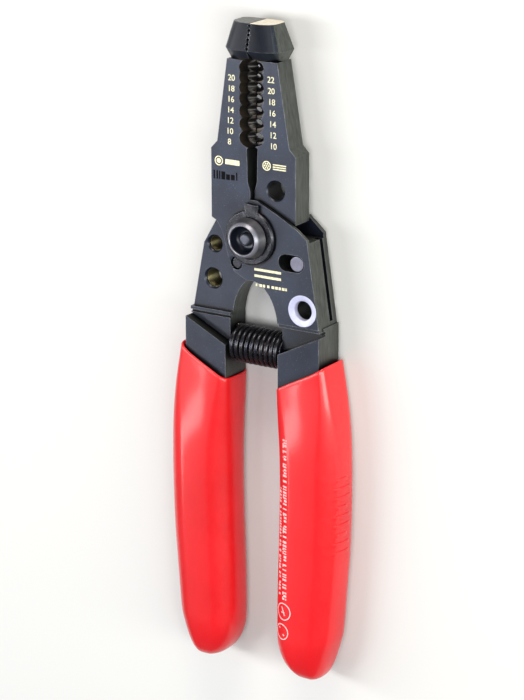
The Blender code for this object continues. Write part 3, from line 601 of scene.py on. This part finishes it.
# Y, inner side, outer side, half thickness and squareness of the section, as in the CAD grip
GRIP_STATIONS = (
    (-31.0, 8.0, 22.9, 5.9, 6.5),
    (-40.0, 7.8, 24.6, 6.1, 6.0),
    (-50.0, 7.8, 26.4, 6.6, 4.2),
    (-60.0, 7.9, 27.6, 6.95, 3.1),
    (-72.0, 7.9, 28.0, GRIP_HALF_THICK, GRIP_SQUARE),
    (-88.0, 7.6, 27.6, GRIP_HALF_THICK, GRIP_SQUARE),
    (-102.0, 7.2, 26.6, GRIP_HALF_THICK, GRIP_SQUARE),
    (-113.0, 7.1, 25.7, GRIP_HALF_THICK, GRIP_SQUARE),
    (GRIP_ROUND_Y, *GRIP_ROUND_SIDES, GRIP_HALF_THICK, GRIP_SQUARE),
)
GRIP_FLAT = 1.04  # the section is cut flat where it would be thicker
GRIP_POINTS = 72
GRIP_ROWS = 90
GRIP_END_ROWS = 18
GRIP_END_INSET = 0.9
MOUTH_IN = (8.6, -44.0)
MOUTH_OUT = (21.8, -37.3)
MOUTH_SLOPE = (MOUTH_OUT[1] - MOUTH_IN[1]) / (MOUTH_OUT[0] - MOUTH_IN[0])
MOUTH_FADE = 32.0  # how far down the rings still lean with the mouth
CROWN = 0.7
LIP = 0.9  # how far the sleeve's mouth reaches up over the steel
# The mouth's inner wall and its rolled edge: how far below the lip, and how far inside the skin
MOUTH_ROLL = ((3.0, 0.62), (0.6, 0.6), (0.12, 0.5), (0.0, 0.3), (0.1, 0.1))
ROLL_FOOT = 0.45  # how far below the lip the outer skin starts


def grip_end_section(y):
    """The section where the grip's end rounds off."""
    down = min((GRIP_ROUND_Y - y) / (GRIP_ROUND_Y - GRIP_END_Y), 1)
    fade = 1 - math.sqrt(1 - down * down)
    low = GRIP_ROUND_SIDES[0] + GRIP_ROUND_IN * fade
    high = GRIP_ROUND_SIDES[1] - GRIP_ROUND_SLANT * down - GRIP_ROUND_OUT * fade * fade
    return low, high, GRIP_HALF_THICK * (1 - (1 - GRIP_END_SHARE) * fade), GRIP_SQUARE


def grip_section(y):
    """Inner side, outer side, half thickness and squareness of the grip at a Y: a smooth curve through
    the stations."""
    if y < GRIP_ROUND_Y:
        return grip_end_section(y)
    rows = GRIP_STATIONS
    y = min(y, rows[0][0])
    k = next(i for i in range(len(rows) - 1) if y >= rows[i + 1][0])
    a, b = rows[k], rows[k + 1]
    before, after = rows[max(k - 1, 0)], rows[min(k + 2, len(rows) - 1)]
    t = (y - a[0]) / (b[0] - a[0])
    made = []
    for c in range(1, len(a)):
        m0 = (b[c] - before[c]) / (b[0] - before[0]) * (b[0] - a[0])
        m1 = (after[c] - a[c]) / (after[0] - a[0]) * (b[0] - a[0])
        made.append(
            (2 * t**3 - 3 * t**2 + 1) * a[c] + (t**3 - 2 * t**2 + t) * m0
            + (3 * t**2 - 2 * t**3) * b[c] + (t**3 - t**2) * m1
        )
    return tuple(made)


def crown(share, half):
    """How far the marked face swells above the flat, by the share of the half width from its middle."""
    return CROWN * half / GRIP_HALF_THICK * (1 - share * share)


def grip_point(y, angle, shrink=0.0):
    """The x and z of a point of the right grip's skin, by its Y and its angle round the section."""
    low, high, half, square = grip_section(y)
    c, s = math.cos(angle), math.sin(angle)
    across = ((high - low) / 2 - shrink) * math.copysign(abs(c) ** (2 / square), c)
    limit = half - shrink
    up = GRIP_FLAT * limit * math.copysign(abs(s) ** (2 / square), s)
    up = max(-limit, min(limit, up))
    if up > 0:
        up += crown(across / ((high - low) / 2), half)
    return (low + high) / 2 + across, up


def grip_row(level, lean, side, shrink=0.0):
    """A ring of the skin; lean tilts it with the mouth's slant."""
    row = []
    for i in range(GRIP_POINTS):
        angle = 2 * math.pi * i / GRIP_POINTS
        x, _ = grip_point(level, angle, shrink)
        y = level + lean * (x - MOUTH_IN[0]) * MOUTH_SLOPE
        x, z = grip_point(y, angle, shrink)
        row.append(at(side * x, y, z))
    return row


def grip_skin(name, side, body, node, material):
    """A sleeve: the rolled mouth, then the skin down to the end, and the end's cap."""
    mouth = MOUTH_IN[1] + LIP
    rows = [grip_row(mouth - depth, 1.0, side, shrink) for depth, shrink in MOUTH_ROLL]
    start = mouth - ROLL_FOOT
    for i in range(GRIP_ROWS + 1):
        y = start + (GRIP_ROUND_Y - start) * i / GRIP_ROWS
        lean = max(0.0, 1 - (start - y) / MOUTH_FADE)
        rows.append(grip_row(y, lean * lean * (3 - 2 * lean), side))
    for i in range(1, GRIP_END_ROWS + 1):
        share = math.sin(math.pi / 2 * i / GRIP_END_ROWS)
        rows.append(grip_row(GRIP_ROUND_Y + (GRIP_END_Y - GRIP_ROUND_Y) * share, 0.0, side))
    shape = bmesh.new()
    skin_rows(shape, rows)
    shape.verts.ensure_lookup_table()
    cap = shape.faces.new(shape.verts[-GRIP_POINTS:])
    bmesh.ops.inset_individual(shape, faces=[cap], thickness=GRIP_END_INSET * MM, depth=0.0)
    skin = add_piece(name, shape, material, body, SLEEVE_CORNER)
    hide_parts(node)


def grip_top(x, y):
    """Height of the right grip's marked face above the datum."""
    low, high, half, square = grip_section(y)
    share = min(abs(x - (low + high) / 2) / ((high - low) / 2), 1)
    return min(half, GRIP_FLAT * half * (1 - share**square) ** (1 / square)) + crown(share, half)


# ---------- the right grip's print and raised bars ----------

PRINT_RISE = 0.06
PRINT_SEED = 7
# The rows of strokes: x, first and last Y, and width
PRINT_ROWS = ((11.4, -56.8, -104.0, 1.5), (9.7, -71.4, -103.2, 0.9))
STROKE_LENGTHS = (0.35, 0.75)
STROKE_INSETS = (0, 0, 0.3)
STROKE_GAPS = (0.3, 0.35, 0.4, 1.0)
# A tick is a small mark that follows some strokes
TICK_CHANCE = 0.3
TICK_SHARE = 0.25
TICK_LENGTH = 0.35
RING_STEPS = 28


def print_patch(shape, points):
    """A thin printed shape on the right grip, from its outline in (x, y)."""
    rows = [[at(x, y, grip_top(x, y) + rise) for x, y in points] for rise in (-PRINT_RISE, PRINT_RISE)]
    skin_rows(shape, rows, closed_ends=True)


def print_bar(shape, x, y, width, height):
    print_patch(shape, [(x, y), (x + width, y), (x + width, y - height), (x, y - height)])


def print_ring(shape, x, y, radius, width):
    for i in range(RING_STEPS):
        a, b = 2 * math.pi * i / RING_STEPS, 2 * math.pi * (i + 1) / RING_STEPS
        print_patch(shape, [
            (x + r * math.cos(c), y + r * math.sin(c))
            for r, c in ((radius, a), (radius, b), (radius - width, b), (radius - width, a))
        ])


def print_strokes(shape):
    draw = random.Random(PRINT_SEED)
    for x, top, bottom, width in PRINT_ROWS:
        y = top
        while y > bottom:
            length = draw.uniform(*STROKE_LENGTHS)
            inset = draw.choice(STROKE_INSETS) * width
            print_bar(shape, x + inset, y, width - inset, length)
            if draw.random() < TICK_CHANCE:
                print_bar(shape, x, y - length, width * TICK_SHARE, TICK_LENGTH)
            y -= length + draw.choice(STROKE_GAPS)


def print_signs(shape):
    """A ring with a slanted and a level stroke, and below it a ring with a slanted stroke."""
    print_ring(shape, 11.8, -107.8, 2.6, 0.3)
    print_patch(shape, [(11.0, -106.4), (11.4, -106.4), (12.5, -108.9), (12.1, -108.9)])
    print_bar(shape, 11.0, -107.9, 1.3, 0.35)
    print_ring(shape, 11.2, -114.0, 2.4, 0.28)
    print_patch(shape, [(9.8, -112.9), (10.2, -112.7), (12.3, -114.9), (11.9, -115.2)])


def add_grip_print(ink):
    """Two rows of small generic strokes and two round signs, down the right grip's inner side."""
    shape = bmesh.new()
    print_strokes(shape)
    print_signs(shape)
    add_piece("grip_print", shape, ink, "front")


RIDGES = 9
RIDGE_PITCH = 2.7
RIDGE_TOP_Y = -67.0
RIDGE_HALF = 0.7
RIDGE_RISE = 0.24
RIDGE_SUNK = 0.3
RIDGE_STEPS = 12
# Angles round the section: a ridge's middle, and how far a long and a short one reach from it
RIDGE_MIDDLE = math.radians(14)
RIDGE_LONG = math.radians(22)
RIDGE_SHORT = math.radians(15)
# Across a ridge: shares of its half width and of its rise, where a foot is sunk in the skin instead
FOOT = None
RIDGE_PROFILE = ((1.0, FOOT), (0.8, 0.7), (0.0, 1.0), (-0.8, 0.7), (-1.0, FOOT))


def ridge_rows(y, reach):
    """Sections of one ridge, from one end to the other."""
    rows = []
    for j in range(RIDGE_STEPS + 1):
        share = j / RIDGE_STEPS * 2 - 1
        angle = RIDGE_MIDDLE + reach * share
        rise = RIDGE_RISE * math.sqrt(1 - share**4)
        row = []
        for across, lift in RIDGE_PROFILE:
            place = y + across * RIDGE_HALF
            x, z = grip_point(place, angle, RIDGE_SUNK if lift is FOOT else -rise * lift)
            row.append(at(x, place, z))
        rows.append(row)
    return rows


def add_grip_ridges(material):
    """A row of low raised bars down the outer side of the right grip, with each third one short."""
    shape = bmesh.new()
    for k in range(RIDGES):
        reach = RIDGE_LONG if k % 3 else RIDGE_SHORT
        skin_rows(shape, ridge_rows(RIDGE_TOP_Y - k * RIDGE_PITCH, reach), closed_ends=True)
    add_piece("grip_ridges", shape, material, "front", BAR_CORNER)


# ---------- spring ----------

SPRING_Y = -33.8
SPRING_RADIUS = 4.85
SPRING_WIRE = 0.575
SPRING_TURNS = 10
SPRING_WALL = 8.6  # from the middle to the lever's wall
SPRING_GAP = 0.3
SPRING_HALF = SPRING_WALL - SPRING_GAP - SPRING_WIRE
SPRING_STEPS = 36  # for each turn
SPRING_SIDES = 14
CLOSED_TURNS = 0.8  # at each end
CLOSED_PITCH = 0.75  # of the mean pitch


def share_along(turn):
    """Share of the spring's length by turns, with a finer pitch over the closed ends."""
    t = turn / SPRING_TURNS
    edge = CLOSED_TURNS / SPRING_TURNS
    if t < edge:
        return t * CLOSED_PITCH
    if t > 1 - edge:
        return 1 - (1 - t) * CLOSED_PITCH
    open_pitch = (1 - 2 * edge * CLOSED_PITCH) / (1 - 2 * edge)
    return edge * CLOSED_PITCH + (t - edge) * open_pitch


def coil_section(turn):
    """The ring of points round the wire at a number of turns."""
    angle = 2 * math.pi * turn
    out = Vector((0, math.cos(angle), math.sin(angle)))
    centre = at(SPRING_HALF * (1 - 2 * share_along(turn)), SPRING_Y) + out * SPRING_RADIUS * MM
    row = []
    for k in range(SPRING_SIDES):
        b = 2 * math.pi * k / SPRING_SIDES
        row.append(centre + (out * math.cos(b) + Vector((1, 0, 0)) * math.sin(b)) * SPRING_WIRE * MM)
    return row


def add_spring(material):
    """The coil, which stretches between the walls of the two levers."""
    shape = bmesh.new()
    rows = [coil_section(i / SPRING_STEPS) for i in range(SPRING_TURNS * SPRING_STEPS + 1)]
    skin_rows(shape, rows, closed_ends=True)
    coil = object_from("spring_coil", shape, material, BAR_CORNER)
    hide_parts("return_spring")
    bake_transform(coil)


# ---------- threads and the bare ring ----------

HOLE_SIDES = 64
SHEAR_HOLES = ((-14.2, -6.0, 2.1), (-14.8, -16.0, 2.6))  # x, y and radius
THREAD_TOP = 0.6
THREAD_START = 0.5
THREAD_FOOT = -4.6
THREAD_PITCH = 0.62
THREAD_DEPTH = 0.34
THREAD_GAP = 0.02  # between the hole's wall and the thread's root
THREAD_BACK = 0.01  # thickness of the ring behind the thread's root


def add_threads(material):
    """The wire shears' threaded holes: a cut thread that shows on each wall."""
    for i, (x, y, radius) in enumerate(SHEAR_HOLES):
        wall = radius - THREAD_GAP
        profile = [(wall, THREAD_TOP)]
        z = THREAD_START
        while z > THREAD_FOOT:
            profile += [(wall, z), (wall - THREAD_DEPTH, z - THREAD_PITCH / 2)]
            z -= THREAD_PITCH
        profile += [(wall, z), (wall + THREAD_BACK, z), (wall + THREAD_BACK, THREAD_TOP)]
        shape = bmesh.new()
        turn_profile(shape, x, y, profile, HOLE_SIDES)
        add_piece(f"shear_thread_{i}", shape, material, "rear", CORNER)


HANG_HOLE = (16.4, -19.9, 2.8)  # x, y and radius
HANG_SINK = 4.4
RING_LAP = 0.02
RING_LINING = 0.06
RING_BELOW = 0.35  # how far the lining goes down the hole below the cone


def add_hang_ring(material):
    """The bare-metal countersink of the hang hole: a rim, its cone and a short lining of the hole."""
    x, y, radius = HANG_HOLE
    rim = HANG_SINK + RING_LAP
    throat = radius - RING_LINING
    foot = FRONT_FACE - (HANG_SINK - radius) - RING_BELOW
    profile = [
        # The rim, a little proud of the marked face
        (rim, FRONT_FACE + 0.05), (HANG_SINK - 0.12, FRONT_FACE + 0.07),
        # The cone
        (radius + 0.1, FRONT_FACE - 0.32), (throat, FRONT_FACE - 0.5),
        # The lining, and back behind the cone
        (throat, foot), (radius, foot),
        (rim, FRONT_FACE - RING_LAP),
    ]
    shape = bmesh.new()
    turn_profile(shape, x, y, profile, HOLE_SIDES)
    add_piece("hang_ring", shape, material, "front", CORNER)


# ---------- printed markings ----------

MARK_RISE = 0.03
MARK_HEIGHT = 1.75
TEXT_SIZE = 1.35  # the font's size for a height of 1
TEXT_SWELL = 0.012
TEXT_SPACING = 0.95
SOLID_GAUGES = (20, 18, 16, 14, 12, 10, 8)
STRANDED_GAUGES = (22, 20, 18, 16, 14, 12, 10)
# Where each column of gauges starts and ends
SOLID_COLUMN = ((-6.15, 42.0), (-6.9, 24.3))
STRANDED_COLUMN = ((5.6, 42.4), (6.35, 24.3))

SOLID_SIGN = (-10.4, 18.7)
STRANDED_SIGN = (4.2, 18.8)
SIGN_RADIUS = 1.35
SIGN_LINE = 0.3
SIGN_STEPS = 36
CORE_RADIUS = 0.7
CORE_STEPS = 20
CORE_BAR = (-8.3, 18.0, 4.6, 1.4)  # x, y, width and height
STRANDS = 6
STRAND_RADIUS = 0.25
STRAND_STEPS = 10
STRAND_CIRCLE = 0.66
STRAND_BAR = (6.2, 17.95, 4.2, 0.34)
STRAND_BARS = 3
STRAND_PITCH = 0.62

MARK_SEED = 3
JOINT_LINE = (8.6, 0.7)
JOINT_LINES = ((1.0, -10.6), (1.0, -12.4))
DASH_ENDS = (1.4, 12.0)
DASH_Y = -15.0
DASH_HEIGHT = 0.75
DASH_WIDTHS = (0.5, 0.7, 0.9)
DASH_GAPS = (0.25, 0.3, 0.7)
STAMP_ENDS = (-12.2, -4.6)
STAMP_Y = 14.0
STAMP_SLOPE = 0.04
STAMP_WIDTHS = (0.4, 0.5, 1.2)
STAMP_HEIGHTS = (1.5, 2.2, 2.4)
STAMP_GAPS = (0.35, 0.5)


def text_shape(shape, text, x, y, z):
    """Adds a number's strokes to the bmesh, lying flat and centred on a point."""
    curve = bpy.data.curves.new("number", "FONT")
    curve.body = text
    curve.size = MARK_HEIGHT * MM * TEXT_SIZE
    curve.align_x = "CENTER"
    curve.align_y = "CENTER"
    curve.extrude = MARK_RISE / 2 * MM
    curve.offset = TEXT_SWELL * MM
    curve.resolution_u = 3
    curve.space_character = TEXT_SPACING
    drawn = bpy.data.objects.new("number", curve)
    bpy.context.scene.collection.objects.link(drawn)
    bpy.context.view_layer.update()
    graph = bpy.context.evaluated_depsgraph_get()
    mesh = bpy.data.meshes.new_from_object(drawn.evaluated_get(graph))
    mesh.transform(Matrix.Translation(at(x, y, z + MARK_RISE / 2)))
    shape.from_mesh(mesh)
    bpy.data.objects.remove(drawn)
    bpy.data.meshes.remove(mesh)


def flat_mark(shape, points, z):
    """A thin printed polygon on a flat face."""
    rows = [[at(x, y, level) for x, y in points] for level in (z, z + MARK_RISE)]
    skin_rows(shape, rows, closed_ends=True)


def bar(shape, x, y, width, height, z):
    flat_mark(shape, [(x, y), (x + width, y), (x + width, y + height), (x, y + height)], z)


def dot(shape, x, y, radius, z, steps):
    angles = [2 * math.pi * i / steps for i in range(steps)]
    flat_mark(shape, [(x + radius * math.cos(a), y + radius * math.sin(a)) for a in angles], z)


def sign_ring(shape, x, y, z):
    inner = SIGN_RADIUS - SIGN_LINE
    top = z + MARK_RISE
    turn_profile(shape, x, y, ((SIGN_RADIUS, z), (SIGN_RADIUS, top), (inner, top), (inner, z)), SIGN_STEPS)


def gauge_column(shape, gauges, column, z):
    """The wire sizes down a slightly leaning column."""
    top, bottom = column
    for i, gauge in enumerate(gauges):
        share = i / (len(gauges) - 1)
        x = top[0] + (bottom[0] - top[0]) * share
        y = top[1] + (bottom[1] - top[1]) * share
        text_shape(shape, str(gauge), x, y, z)


def add_solid_gauges(ink):
    """The left jaw's sizes, and a sign for solid wire: one thick core, end on and from the side."""
    shape = bmesh.new()
    gauge_column(shape, SOLID_GAUGES, SOLID_COLUMN, FRONT_FACE)
    sign_ring(shape, *SOLID_SIGN, FRONT_FACE)
    dot(shape, *SOLID_SIGN, CORE_RADIUS, FRONT_FACE, CORE_STEPS)
    bar(shape, *CORE_BAR, FRONT_FACE)
    add_piece("gauge_marks_left", shape, ink, "front")


def add_stranded_gauges(ink):
    """The right jaw's sizes, and a sign for stranded wire: a bundle of strands, end on and from the side."""
    shape = bmesh.new()
    gauge_column(shape, STRANDED_GAUGES, STRANDED_COLUMN, REAR_JAW_FACE)
    x, y = STRANDED_SIGN
    sign_ring(shape, x, y, REAR_JAW_FACE)
    dot(shape, x, y, STRAND_RADIUS, REAR_JAW_FACE, STRAND_STEPS)
    for i in range(STRANDS):
        a = 2 * math.pi / STRANDS * i
        strand = (x + STRAND_CIRCLE * math.cos(a), y + STRAND_CIRCLE * math.sin(a))
        dot(shape, *strand, STRAND_RADIUS, REAR_JAW_FACE, STRAND_STEPS)
    x, y, width, height = STRAND_BAR
    for i in range(STRAND_BARS):
        bar(shape, x, y + STRAND_PITCH * i, width, height, REAR_JAW_FACE)
    add_piece("gauge_marks_right", shape, ink, "rear")


def add_joint_marks(ink, draw):
    """Two plain lines and a row of short dashes on the joint."""
    shape = bmesh.new()
    for x, y in JOINT_LINES:
        bar(shape, x, y, *JOINT_LINE, FRONT_FACE)
    x, end = DASH_ENDS
    while x < end:
        width = draw.choice(DASH_WIDTHS)
        bar(shape, x, DASH_Y, width, DASH_HEIGHT, FRONT_FACE)
        x += width + draw.choice(DASH_GAPS)
    add_piece("joint_marks", shape, ink, "front")


def add_jaw_stamp(ink, draw):
    """A row of dark upright strokes on the left jaw."""
    shape = bmesh.new()
    x, end = STAMP_ENDS
    while x < end:
        width = draw.choice(STAMP_WIDTHS)
        height = draw.choice(STAMP_HEIGHTS)
        bar(shape, x, STAMP_Y + STAMP_SLOPE * x, width, height, FRONT_FACE)
        x += width + draw.choice(STAMP_GAPS)
    add_piece("jaw_stamp", shape, ink, "front")


def add_markings(ink, dark):
    add_solid_gauges(ink)
    add_stranded_gauges(ink)
    draw = random.Random(MARK_SEED)
    add_joint_marks(ink, draw)
    add_jaw_stamp(dark, draw)


# ---------- assembly ----------

add_camera()
add_stage()

steel = blackened_steel()
boss_steel = boss_finish()
dark_steel = turned_steel("oiled_steel")
pin_steel = turned_steel("pin_steel")
bright_steel = turned_steel("bright_steel")
ring_steel = turned_steel("bare_ring")
spring_steel = turned_steel("spring_wire")
thread_oil_and_glint = turned_steel("oil_and_glint_thread")
vinyl = red_vinyl()
cream = print_ink("cream_print", (0.78, 0.74, 0.5), (0.25, 0.24, 0.16))
white = print_ink("white_print", (0.85, 0.5, 0.5), (0.75, 0.2, 0.2))
black = print_ink("black_stamp", (0.001, 0.001, 0.001), (0.003, 0.003, 0.004), gloss=0.05)

# Node, material, body, slot and bevel of each soft-edged copy
STEEL_COPIES = (
    ("front_lever", steel, "front", "lever_steel", 0.22),
    ("rear_lever", steel, "rear", "lever_steel", 0.22),
    ("pivot_bolt", pin_steel, "front", "pivot_steel", 0),
    ("pivot_washer", dark_steel, "front", "pivot_steel", 0),
    ("pivot_boss", boss_steel, "front", "pivot_steel", 0),
    ("lock_pin", bright_steel, "lock", "bright_steel", 0.15),
    ("lock_button", dark_steel, "lock", "pivot_steel", 0.15),
    ("stop_stud", dark_steel, "front", "bright_steel", 0.15),
    ("spring_seat_left", dark_steel, "rear", "pivot_steel", 0),
    ("spring_seat_right", dark_steel, "front", "pivot_steel", 0),
)
for node, material, body, slot, bevel in STEEL_COPIES:
    refined(node, material, body, bevel)

paint(steel, "front_lever", "rear_lever")
paint(dark_steel, "pivot_bolt", "pivot_washer", "lock_button", "stop_stud")
paint(dark_steel, "spring_seat_left", "spring_seat_right")
paint(boss_steel, "pivot_boss")
paint(bright_steel, "thrust_washer", "lock_pin")
paint(spring_steel, "return_spring")
paint(vinyl, "grip_left", "grip_right")

grip_skin("grip_right_skin", 1, "front", "grip_right", vinyl)
grip_skin("grip_left_skin", -1, "rear", "grip_left", vinyl)
add_grip_print(white)
add_grip_ridges(vinyl)
add_spring(spring_steel)
add_threads(thread_oil_and_glint)
add_hang_ring(ring_steel)
add_markings(cream, black)
